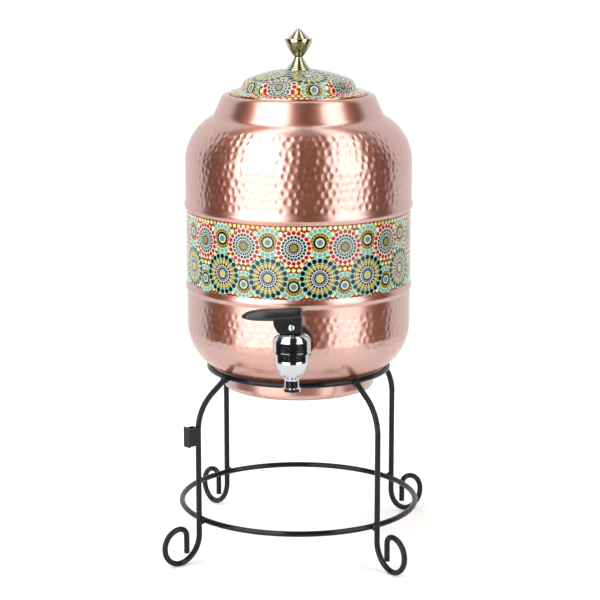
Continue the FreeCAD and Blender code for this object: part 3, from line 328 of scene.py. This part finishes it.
def printed_film(name, motifs, ground):
    """Plastic film, printed from behind: a ground of dots with rosettes over it.

    The ink is matt and the film glossy, so the colours stay full under a thin, pale shine.
    """
    material, tree, shader = surface(
        name, roughness=0.6, specular_ior_level=0.0, coat_weight=1.0, coat_roughness=0.16)
    place = node(tree, "TexCoord", output="Object")
    apart = node(tree, "SeparateXYZ", place).node
    x, y, z = (Field(tree, apart.outputs[axis]) / MM for axis in range(3))
    colour = ground(x, y, z)
    for (across, along), radius, (count, dots, grounds) in motifs(x, y, z):
        wheel, inside = rosette(across, along, radius, count, dots, grounds)
        plugs = {MIX_FIRST: colour, MIX_SECOND: wheel}
        colour = node(tree, "Mix", inside, output=MIX_RESULT, plugs=plugs, data_type="RGBA")
    tree.links.new(colour, shader.inputs["Base Color"])
    return material


def band_print():
    """The film round the drum."""
    def round_band(x, y):
        return x.angle_to(y) * BAND_RADIUS

    def motifs(x, y, z):
        around = round_band(x, y)
        across = [around.folded(BAND_PITCH), (around - BAND_PITCH / 2).folded(BAND_PITCH)]
        height = z - BAND_LOW
        return [
            ((across[between], height - centre), radius, wheel)
            for centre, radius, wheel, between in BAND_ROSETTES
        ]

    def ground(x, y, z):
        return dot_ground(round_band(x, y), z, BAND_DOT_PITCH)
    return printed_film("band_print", motifs, ground)


def lid_print():
    """The film on the lid: the same rosettes, larger, in rings round the knob."""
    def motifs(x, y, z):
        reach = x.length_with(y) + (-z + LID_TOP) * LID_FALL
        around = x.angle_to(y)
        turn = [around.folded(LID_SECTOR), (around - LID_SECTOR / 2).folded(LID_SECTOR)]
        return [
            ((reach * turn[between].step("COSINE") - centre, reach * turn[between].step("SINE")),
             radius, wheel)
            for centre, radius, wheel, between in LID_ROSETTES
        ]

    def ground(x, y, z):
        spread = (-z + LID_TOP) * LID_FALL / x.length_with(y) + 1.0
        return dot_ground(x * spread, y * spread, LID_DOT_PITCH)
    return printed_film("lid_print", motifs, ground)


def dress(looks):
    """Gives each node the material of its slot, or its print."""
    prints = {"printed_band": band_print(), "lid_print": lid_print()}
    for subpart in frame["record"]["subparts"]:
        name = subpart["node"]
        material = prints.get(name) or looks[subpart["material_slot"]]
        for slot in frame["nodes"][name].material_slots:
            slot.material = material


def drawn(path, step):
    """Points along an outline of straight runs and bends, step apart."""
    points = [path[0]]
    for end in path[1:]:
        start = points[-1]
        run, rise = end[0] - start[0], end[1] - start[1]
        chord = math.hypot(run, rise)
        bent = len(end) > 2
        half = math.copysign(math.asin(chord / 2 / abs(end[2])), end[2]) if bent else 0.0
        length = 2 * half * end[2] if bent else chord
        count = max(1, round(length / step))
        for number in range(1, count + 1):
            turn = half * number / count
            reach = 2 * end[2] * math.sin(turn) if bent else chord * number / count
            heading = math.atan2(rise, run) - half + turn
            points.append((start[0] + reach * math.cos(heading), start[1] + reach * math.sin(heading)))
    return np.array(points)


# Points nearer than this, in metres, are one
SAME_POINT = 1e-6


def turned_about_axis(rows, turns):
    """A closed form from rows of radius and height in millimetres, turned about the pot's axis."""
    columns, count = len(turns), len(rows)
    radius, height = rows[..., 0], rows[..., 1]
    points = np.stack([radius * np.cos(turns), radius * np.sin(turns), height], axis=-1) * MM
    low = np.arange(count - 1)[:, None] * columns
    column = np.arange(columns)
    after = (column + 1) % columns
    faces = np.stack([low + column, low + after, low + columns + after, low + columns + column], axis=-1)
    mesh = bpy.data.meshes.new("turned")
    mesh.from_pydata(points.reshape(-1, 3), [], faces.reshape(-1, 4))
    form = bmesh.new()
    form.from_mesh(mesh)
    bpy.data.meshes.remove(mesh)
    middle = [v for v in form.verts if math.hypot(v.co.x, v.co.y) < SAME_POINT]
    bmesh.ops.remove_doubles(form, verts=middle, dist=SAME_POINT)
    return form


def solid(name, form):
    """An object made from a bmesh, which it frees."""
    mesh = bpy.data.meshes.new(name)
    form.to_mesh(mesh)
    form.free()
    made = bpy.data.objects.new(name, mesh)
    bpy.context.scene.collection.objects.link(made)
    return made


# The sides of a round cutter and of the paddle
SIDES = 48


def rod(name, radius, length, centre=(0, 0, 0)):
    """A plain rod along Y, to cut a bore with."""
    form = bmesh.new()
    bmesh.ops.create_cone(form, cap_ends=True, segments=SIDES, radius1=radius, radius2=radius, depth=length)
    bmesh.ops.rotate(form, verts=form.verts, matrix=Matrix.Rotation(math.pi / 2, 3, "X"))
    bmesh.ops.translate(form, verts=form.verts, vec=centre)
    return solid(name, form)


def worked(piece, join=(), cut=()):
    """The form of a piece with some others joined to it and some cut out of it."""
    for operation, tools in (("UNION", join), ("DIFFERENCE", cut)):
        for tool in tools:
            modifier = piece.modifiers.new("work", "BOOLEAN")
            modifier.operation = operation
            modifier.object = tool
    seen = piece.evaluated_get(bpy.context.evaluated_depsgraph_get())
    form = bmesh.new()
    form.from_mesh(seen.to_mesh())
    for done in (piece, *join, *cut):
        bpy.data.objects.remove(done)
    return form


# The pot's outside, from its axis and above the floor, from the base up. A third number is the
# radius of the bend that leads there, positive to the left. The lip goes on from there, inwards.
OUTSIDE = [
    (65.0, 146.8), (68.0, 149.8, 3.0), (68.0, 161.066), (100.1, 206.0, 47.5), (100.1, 236.8),
    (100.1, 244.2, 5.078), (100.1, 309.3), (101.0, 316.7, 5.078), (101.0, 351.0), (77.3, 390.640, 45.0),
    (75.15, 392.990, -4.8), (68.4, 408.090), (63.8, 410.840, 5.0),
]
LIP = [
    (57.5, 410.84), (56.0, 409.34, 1.5), (56.0, 406.84), (57.0, 406.84), (57.0, 409.34),
    (57.5, 409.84, -0.5), (63.8, 409.84),
]
SHEET = 1.0

# The wall's mesh: its columns, the step between its rows, and which rows stay. Where the wall
# is plain that is every third, inside it every fifth, and under the film none.
COLUMNS = 832
ROW = 0.75
PLAIN_ROWS = 3
INSIDE_ROWS = 5
LIP_STEP = 0.5
FILM_COVERS = (246.0, 307.5)

# The blows of the round hammer, on the bowl, below the band and above it: the heights where
# they start and end, and how deep they go. They stand in staggered rows, by eye, so each one
# strays along its row, by a share of the pitch, and off it, in millimetres. Its reach is a share
# of the radius, and its strength a share of the depth.
BLOWS = [(168.0, 188.0, 0.12), (191.0, 233.0, 0.2), (322.0, 384.0, 0.28)]
BLOW_RADIUS = 3.2
BLOW_PITCH = 7.0
BLOW_SEED = 7
STRAY_ALONG = 0.15
STRAY_OFF = 0.8
BLOW_SIZES = (0.85, 1.1)
BLOW_STRENGTHS = (0.7, 1.0)

TAP_HOLE_HEIGHT = 206.6
TAP_HOLE_RADIUS = 8.25
DRILL_LENGTH = 20.0
DRILL_MIDDLE = -100.0

# Edges that turn by more degrees than this stay sharp
POT_SHARP = 50
LEVER_SHARP = 45
KNOB_SHARP = 35


def driven_in(outside, turns):
    """How deep the hammer drove each point of the wall in, by row and column."""
    chance = np.random.default_rng(BLOW_SEED)
    along = np.concatenate([[0.0], np.cumsum(np.hypot(*np.diff(outside, axis=0).T))])
    depth = np.zeros((len(outside), len(turns)))
    for low, high, deepest in BLOWS:
        first, last = (along[np.abs(outside[:, 1] - height).argmin()] for height in (low, high))
        for number, middle in enumerate(np.arange(first, last, BLOW_PITCH)):
            radius = np.interp(middle, along, outside[:, 0])
            count = round(math.tau * radius / BLOW_PITCH)
            for blow in range(count):
                angle = (blow + number % 2 / 2 + chance.normal(0, STRAY_ALONG)) * math.tau / count
                height = middle + chance.normal(0, STRAY_OFF)
                reach = BLOW_RADIUS * chance.uniform(*BLOW_SIZES)
                strength = deepest * chance.uniform(*BLOW_STRENGTHS)
                aside = ((turns - angle + math.pi) % math.tau - math.pi) * radius
                near, beside = np.abs(along - height) < reach, np.abs(aside) < reach
                away = (along[near, None] - height) ** 2 + aside[beside] ** 2
                patch = np.ix_(near, beside)
                depth[patch] = np.maximum(depth[patch], strength * (1 - away / reach ** 2))
    return depth


def hammered_pot(material):
    """The pot's copper wall in one piece, with the dents of the hammer."""
    turns = np.arange(COLUMNS) * math.tau / COLUMNS
    outside = drawn(OUTSIDE, ROW)
    heading = np.gradient(outside, axis=0)
    heading /= np.hypot(*heading.T)[:, None]
    outward = np.stack([heading[:, 1], -heading[:, 0]], axis=1)
    inside = (outside - outward * SHEET)[::-INSIDE_ROWS]
    depth = driven_in(outside, turns)
    kept = depth.any(axis=1) | (np.arange(len(outside)) % PLAIN_ROWS == 0)
    kept |= (np.abs(outside[:, 1, None] - FILM_COVERS) < ROW).any(axis=1)
    kept &= (outside[:, 1] < FILM_COVERS[0]) | (outside[:, 1] > FILM_COVERS[1])
    kept[[0, -1]] = True
    outside, outward, depth = outside[kept], outward[kept], depth[kept]
    dented = outside[:, None] - outward[:, None] * depth[..., None]
    base_radius, base = OUTSIDE[0]
    plain = np.concatenate([drawn(LIP, LIP_STEP), inside, [(base_radius, base + SHEET)]])
    plain = np.repeat(plain[:, None], COLUMNS, axis=1)
    first, last = (np.full((1, COLUMNS, 2), (0.0, height)) for height in (base, base + SHEET))
    wall = solid("wall", turned_about_axis(np.concatenate([first, dented, plain, last]), turns))
    drill = rod("drill", TAP_HOLE_RADIUS * MM, DRILL_LENGTH * MM, (0, DRILL_MIDDLE * MM, TAP_HOLE_HEIGHT * MM))
    pot = solid("hammered_pot", worked(wall, cut=[drill]))
    pot.data.shade_smooth()
    pot.data.set_sharp_from_angle(angle=math.radians(POT_SHARP))
    pot.data.materials.append(material)
    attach(pot, "vessel")
    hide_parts("lower_shell", "upper_shell")


# The lever, from its pin: the paddle's cross-sections as distance along it, height of the
# middle, half the height and half the width, the outline of the block below it, and the slot
# for the stem as its left, right, low and high sides and half its width
PIN = (0.0, -137.1, 230.1)
PADDLE = [
    (-42.2, 8.0, 0.05, 0.05), (-41.9, 8.0, 0.8, 1.1), (-41.2, 8.05, 1.45, 2.0), (-40.0, 8.2, 2.2, 3.1),
    (-38.0, 8.45, 3.0, 4.3), (-36.0, 8.7, 3.6, 5.2), (-33.0, 8.9, 4.2, 6.2), (-30.0, 9.1, 4.6, 6.9),
    (-25.0, 9.35, 4.95, 7.5), (-20.0, 9.5, 5.1, 7.8), (-15.0, 9.65, 5.15, 7.8), (-10.0, 9.9, 5.15, 7.75),
    (-5.0, 10.3, 5.15, 7.7), (0.0, 10.7, 5.15, 7.65), (4.0, 11.0, 5.0, 7.6), (7.0, 11.15, 4.8, 7.5),
    (8.0, 11.2, 4.5, 7.2), (8.45, 11.2, 4.0, 6.7), (8.6, 11.2, 3.2, 6.0),
]
BLOCK = [
    (8.6, -5.6), (8.6, 9.0), (-15.3, 9.0), (-15.3, 4.4), (-15.0, 2.0), (-14.2, 0.2), (-13.4, -1.5),
    (-12.4, -3.4), (-10.9, -4.8), (-9.2, -5.5), (-8.0, -5.6),
]
BLOCK_HALF = 7.0
BLOCK_EDGE = 0.6
EDGE_STEPS = 3
SLOT = (-6.65, 4.5, -7.0, 4.5, 2.8)
BORE_RADIUS = 1.56
# How full the paddle's cross-section is: 1 is an ellipse, and less comes nearer to a rectangle
PADDLE_ROUND = 0.85


def lever_block():
    """The block under the paddle, with soft edges."""
    form = bmesh.new()
    outline = [Vector((x, -BLOCK_HALF, z)) for x, z in BLOCK]
    front = form.faces.new([form.verts.new(corner) for corner in outline])
    drawn_out = bmesh.ops.extrude_face_region(form, geom=[front])["geom"]
    back = [v for v in drawn_out if isinstance(v, bmesh.types.BMVert)]
    bmesh.ops.translate(form, verts=back, vec=(0, 2 * BLOCK_HALF, 0))
    bmesh.ops.recalc_face_normals(form, faces=form.faces)
    bmesh.ops.bevel(
        form, geom=list(form.edges), offset=BLOCK_EDGE, segments=EDGE_STEPS, profile=0.5,
        affect="EDGES", clamp_overlap=True)
    return solid("lever_block", form)


def lever_slot():
    """What is cut out of the block for the stem."""
    left, right, low, high, half = SLOT
    form = bmesh.new()
    bmesh.ops.create_cube(form, size=1.0)
    bmesh.ops.scale(form, verts=form.verts, vec=(right - left, 2 * half, high - low))
    bmesh.ops.translate(form, verts=form.verts, vec=((left + right) / 2, 0, (low + high) / 2))
    return solid("lever_slot", form)


def lever_paddle():
    """The leaf-shaped paddle, lofted through its cross-sections."""
    form = bmesh.new()
    turns = np.arange(SIDES) * math.tau / SIDES
    across, up = (np.sign(f(turns)) * np.abs(f(turns)) ** PADDLE_ROUND for f in (np.cos, np.sin))
    rings = [
        [form.verts.new((x, width * a, middle + height * u)) for a, u in zip(across, up)]
        for x, middle, height, width in PADDLE
    ]
    for ring, following in zip(rings, rings[1:]):
        for side in range(SIDES):
            after = (side + 1) % SIDES
            form.faces.new((ring[side], ring[after], following[after], following[side]))
    form.faces.new(list(reversed(rings[0])))
    form.faces.new(rings[-1])
    return solid("lever_paddle", form)


def moulded_lever(material):
    """The lever's paddle on its block, with the slot for the stem and the pin's bore."""
    block, slot, paddle = lever_block(), lever_slot(), lever_paddle()
    bore = rod("lever_bore", BORE_RADIUS, 4 * BLOCK_HALF)
    form = worked(block, join=[paddle], cut=[slot, bore])
    bmesh.ops.scale(form, verts=form.verts, vec=(MM, MM, MM))
    bmesh.ops.translate(form, verts=form.verts, vec=Vector(PIN) * MM)
    lever = solid("moulded_lever", form)
    lever.data.shade_smooth()
    lever.data.set_sharp_from_angle(angle=math.radians(LEVER_SHARP))
    lever.modifiers.new("flat_sides", "WEIGHTED_NORMAL").keep_sharp = True
    lever.data.materials.append(material)
    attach(lever, "lever")
    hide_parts("lever_handle")


# The knob's outline above its seat on the lid, as in OUTSIDE, from the top of its screw hole,
# and the ridges that were turned round its foot, outside RIDGES_OUTSIDE
KNOB = [
    (0.0, 10.0), (2.1, 10.0), (2.1, 0.0), (10.4, 0.0), (10.4, 1.2), (9.5, 1.8), (3.6, 11.2, -30.0),
    (12.1, 25.4, 40.0), (12.1, 27.4), (9.2, 27.9), (1.6, 35.5), (0.0, 36.162, 2.2627),
]
RIDGES = 3
RIDGES_FROM = 1.8
RIDGES_OUTSIDE = 2.5
RIDGE_PITCH = 1.9
RIDGE_RISE = 0.35
KNOB_STEP = 0.2
KNOB_COLUMNS = 128


def turned_knob(material):
    """The knob, with the ridges that were turned round its foot."""
    outline = drawn(KNOB, KNOB_STEP)
    along = (outline[:, 1] - RIDGES_FROM) / RIDGE_PITCH
    ridged = (along > 0) & (along < RIDGES) & (outline[:, 0] > RIDGES_OUTSIDE)
    outline[:, 0] += np.where(ridged, RIDGE_RISE * np.abs(np.sin(math.pi * along)), 0.0)
    outline[:, 1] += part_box("lid_knob")[0][2] / MM
    turns = np.arange(KNOB_COLUMNS) * math.tau / KNOB_COLUMNS
    knob = solid("turned_knob", turned_about_axis(np.repeat(outline[:, None], KNOB_COLUMNS, axis=1), turns))
    knob.data.shade_smooth()
    knob.data.set_sharp_from_angle(angle=math.radians(KNOB_SHARP))
    knob.data.materials.append(material)
    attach(knob, "lid")
    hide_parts("lid_knob")


def coil_spring(material):
    """The valve's spring, copied from its part onto the vessel with a mesh of its own. The real spring
    shortens from below as the valve opens.
    """
    coil = bpy.data.objects.new("coil_spring", frame["nodes"]["valve_spring"].data.copy())
    bpy.context.scene.collection.objects.link(coil)
    coil.data.materials[0] = material
    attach(coil, "vessel")
    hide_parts("valve_spring")
    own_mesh(coil)


def set_up_camera():
    """The camera at the photograph's place, aimed down at the pot."""
    data = bpy.data.cameras.new("camera")
    data.sensor_width = SENSOR_WIDTH
    data.lens = FOCAL_LENGTH_PX / IMAGE_SIDE_PX * SENSOR_WIDTH
    data.shift_x = (IMAGE_SIDE_PX / 2 - CENTRE_COLUMN_PX) / IMAGE_SIDE_PX
    camera = bpy.data.objects.new("camera", data)
    camera.location = (
        math.sin(CAMERA_AZIMUTH) * CAMERA_DISTANCE,
        -math.cos(CAMERA_AZIMUTH) * CAMERA_DISTANCE,
        CAMERA_HEIGHT,
    )
    camera.rotation_euler = (math.pi / 2 - CAMERA_PITCH, 0, CAMERA_AZIMUTH)
    bpy.context.scene.collection.objects.link(camera)
    bpy.context.scene.camera = camera


# The studio round the object: how bright it is, by degrees right of the camera. Whatever is
# brighter than the white walls is a softbox, and has the lamps' tint.
STUDIO = [
    (-180, 1.0), (-114, 1.0), (-106, 0.05), (-72, 0.05), (-64, 3.25), (-16, 3.25), (-9, 0.03), (29, 0.03),
    (36, 2.8), (66, 2.8), (74, 0.04), (103, 0.05), (111, 0.95), (180, 1.0),
]
BRIGHTEST = max(level for _, level in STUDIO)
LAMP_TINT = (1.0, 0.985, 0.96)

# Heights in the studio are those of a direction, from -1 straight down to 1 straight up.
# The softboxes lean over the object from one height on, by this much
LEAN_FROM = 0.5
LEAN = 1.0
# The ceiling, and where it takes over from the walls
CEILING = 0.3
CEILING_FROM = (0.97, 0.995)
# A low dark gap in front: the table's edge, which the chrome shows as its black middle
GAP_LEVEL = 0.02
GAP_HEIGHT = -0.236
GAP_HALF = 0.022
GAP_EDGE = 0.01
GAP_ENDS = (math.radians(100), math.radians(106))


def set_up_studio():
    """Tall softboxes with dark gaps between them, and a white backdrop behind the object."""
    world = bpy.data.worlds.new("studio")
    bpy.context.scene.world = world
    world.use_nodes = True
    tree = world.node_tree
    direction = node(tree, "TexCoord", output="Generated")
    apart = node(tree, "SeparateXYZ", direction).node
    x, y, z = (Field(tree, apart.outputs[axis]) for axis in range(3))
    ahead = (z - LEAN_FROM).step("MAXIMUM", 0.0) * LEAN - y
    bearing = ahead.angle_to(x) - CAMERA_AZIMUTH
    stops = [
        (degrees / 360 + 0.5, [level / BRIGHTEST * (tint if level > 1 else 1) for tint in LAMP_TINT] + [1.0])
        for degrees, level in STUDIO
    ]
    walls = node(tree, "ValToRGB", bearing / math.tau + 0.5, stops=stops)
    overhead = node(tree, "MapRange", z, *CEILING_FROM, 0.0, 1.0)
    plugs = {MIX_FIRST: walls, MIX_SECOND: [CEILING / BRIGHTEST] * 3 + [1.0]}
    room = node(tree, "Mix", overhead, output=MIX_RESULT, plugs=plugs, data_type="RGBA")
    from_gap = (z - GAP_HEIGHT).step("ABSOLUTE")
    level = Field(tree, node(tree, "MapRange", from_gap, GAP_HALF, GAP_HALF + GAP_EDGE, 1.0, 0.0))
    in_front = Field(tree, node(tree, "MapRange", bearing.step("ABSOLUTE"), *GAP_ENDS, 1.0, 0.0))
    plugs = {MIX_FIRST: room, MIX_SECOND: [GAP_LEVEL / BRIGHTEST] * 3 + [1.0]}
    light = node(tree, "Mix", in_front * level, output=MIX_RESULT, plugs=plugs, data_type="RGBA")
    seen = node(tree, "LightPath", output="Is Camera Ray")
    plugs = {MIX_FIRST: light, MIX_SECOND: WHITE}
    colour = node(tree, "Mix", seen, output=MIX_RESULT, plugs=plugs, data_type="RGBA")
    strength = node(tree, "MapRange", seen, 0.0, 1.0, BRIGHTEST, 1.0)
    background = tree.nodes["Background"]
    tree.links.new(colour, background.inputs["Color"])
    tree.links.new(strength, background.inputs["Strength"])


# The round table top, in metres, and how much paler than its paint it looks to the camera and
# in what mirrors it
FLOOR_RADIUS = 0.55
FLOOR_SIDES = 96
FLOOR_SEEN = 0.2
FLOOR_MIRRORED = 0.05


def set_up_floor():
    """A plain pale floor, a round table top that ends where the backdrop's white takes over."""
    material, tree, shader = surface(
        "floor", roughness=0.9, base_color=linear("F2F2F2"), emission_color=WHITE)
    seen = Field(tree, node(tree, "LightPath", output="Is Camera Ray"))
    mirrored = Field(tree, node(tree, "LightPath", output="Is Glossy Ray"))
    paler = seen * FLOOR_SEEN + mirrored * FLOOR_MIRRORED
    tree.links.new(paler.socket, shader.inputs["Emission Strength"])
    form = bmesh.new()
    bmesh.ops.create_circle(form, cap_ends=True, segments=FLOOR_SIDES, radius=FLOOR_RADIUS)
    floor = solid("floor", form)
    floor.data.materials.append(material)


looks = finishes()
dress(looks)
hammered_pot(looks["copper"])
moulded_lever(looks["black_moulding"])
turned_knob(looks["nickel_brass"])
coil_spring(looks["steel"])
set_up_camera()
set_up_studio()
set_up_floor()
bpy.context.scene.view_settings.view_transform = "Standard"
